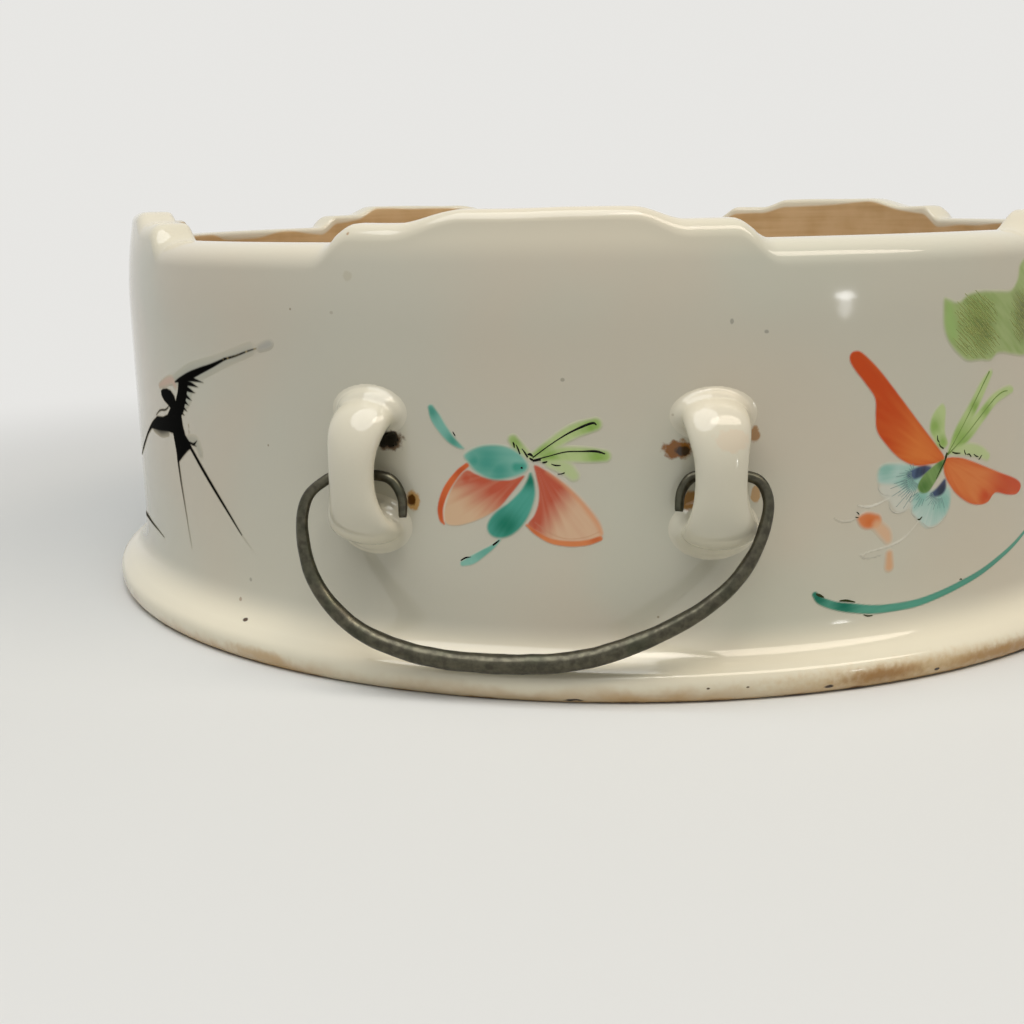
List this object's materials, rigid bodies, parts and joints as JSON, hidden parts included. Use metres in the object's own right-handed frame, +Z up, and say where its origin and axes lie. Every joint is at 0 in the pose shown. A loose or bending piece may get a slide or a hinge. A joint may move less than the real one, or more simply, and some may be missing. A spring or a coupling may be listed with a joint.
{
  "type": "warming bowl",
  "caption": "Round glazed porcelain bowl with a cloud-cut rim and a pair of ears on each side that hold a swinging wire bail handle.",
  "frame": {"origin": "middle of the flat underside, on the surface that the bowl stands on", "axes": "+Z up, -Y towards the front bail, +X to the right of someone who faces the front bail"},
  "size_m": [0.22, 0.2238, 0.0768],
  "materials": {
    "glazed_porcelain": "glossy grey-white glaze over painted enamels",
    "foot_biscuit": "glazed on top, bare fired clay on the underside and inside",
    "dark_wire": "hand-forged wire with a near-black patina"
  },
  "bodies": {
    "vessel": {"base_slab": "foot_biscuit", "wall": "glazed_porcelain", "front_left_ear_strap": "glazed_porcelain", "front_left_ear_upper_pad": "glazed_porcelain", "front_left_ear_lower_pad": "glazed_porcelain", "front_right_ear_strap": "glazed_porcelain", "front_right_ear_upper_pad": "glazed_porcelain", "front_right_ear_lower_pad": "glazed_porcelain", "back_left_ear_strap": "glazed_porcelain", "back_left_ear_upper_pad": "glazed_porcelain", "back_left_ear_lower_pad": "glazed_porcelain", "back_right_ear_strap": "glazed_porcelain", "back_right_ear_upper_pad": "glazed_porcelain", "back_right_ear_lower_pad": "glazed_porcelain"},
    "front_bail": {"front_bail": "dark_wire"},
    "back_bail": {"back_bail": "dark_wire"}
  },
  "joints": [
    {"name": "front_bail_swing", "type": "hinge", "parent": "vessel", "child": "front_bail", "pos_m": [0, -0.1028, 0.0353], "axis": [-0.9998, 0, -0.0182], "range_deg": [0, 155]},
    {"name": "back_bail_swing", "type": "hinge", "parent": "vessel", "child": "back_bail", "pos_m": [0, 0.1028, 0.0353], "axis": [0.9998, 0, -0.0182], "range_deg": [0, 155]}
  ]
}
